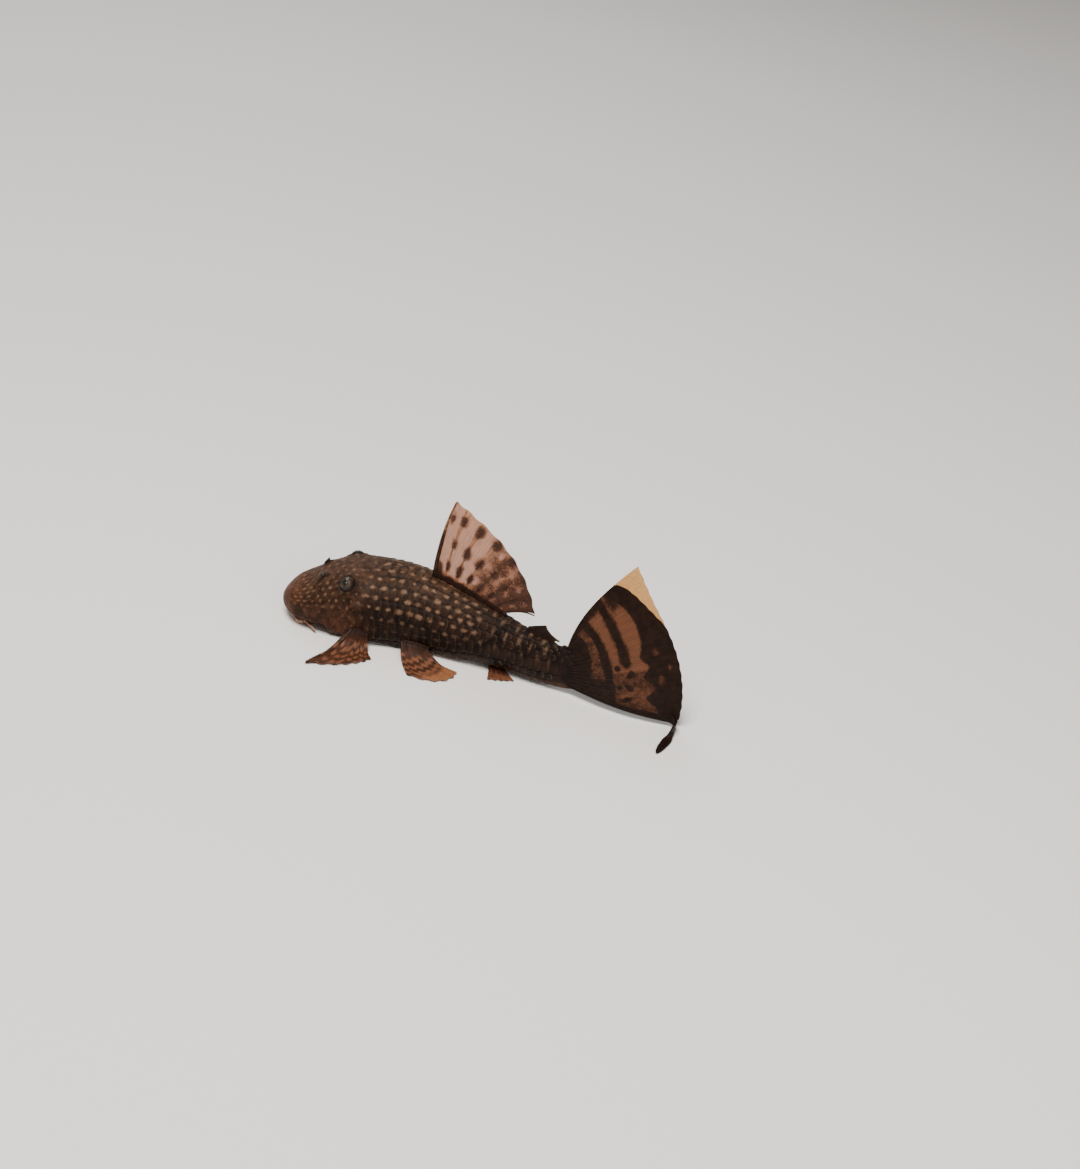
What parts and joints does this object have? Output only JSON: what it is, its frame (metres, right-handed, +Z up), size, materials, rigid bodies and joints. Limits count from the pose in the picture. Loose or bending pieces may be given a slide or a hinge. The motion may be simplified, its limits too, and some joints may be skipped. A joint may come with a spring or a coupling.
{
  "type": "bristlenose pleco",
  "caption": "Young armoured sucker-mouth catfish lying on its belly, body curved, dorsal fin raised, paired fins spread and tail fin fanned out.",
  "frame": {"origin": "on the flat of the belly, under the front of the dorsal fin, where the fish rests on the floor", "axes": "the fish lies along X with its head towards -X; its left flank faces -Y; +Z is up through its back"},
  "size_m": [0.0613, 0.0353, 0.0234],
  "materials": {
    "skin": "wet satin, near-black brown with cream spots",
    "lip": "soft, tan and pink",
    "eye": "wet gloss",
    "clear_fin": "thin clear membrane with brown spots on the rays",
    "dark_fin": "thin membrane with dark and tan bands and a cream corner",
    "brown_fin": "thin membrane, mottled reddish brown"
  },
  "bodies": {
    "root": {"head": "skin", "trunk": "skin", "tail": "skin", "gill_cover_left": "skin", "gill_cover_right": "skin", "mouth": "lip", "barbel_left": "lip", "barbel_right": "lip", "eye_left": "eye", "eye_right": "eye", "dorsal_fin": "clear_fin", "adipose_fin": "skin", "caudal_fin": "dark_fin", "anal_fin": "clear_fin", "pectoral_fin_left": "brown_fin", "pectoral_fin_right": "brown_fin", "pelvic_fin_left": "brown_fin", "pelvic_fin_right": "brown_fin"}
  },
  "joints": []
}
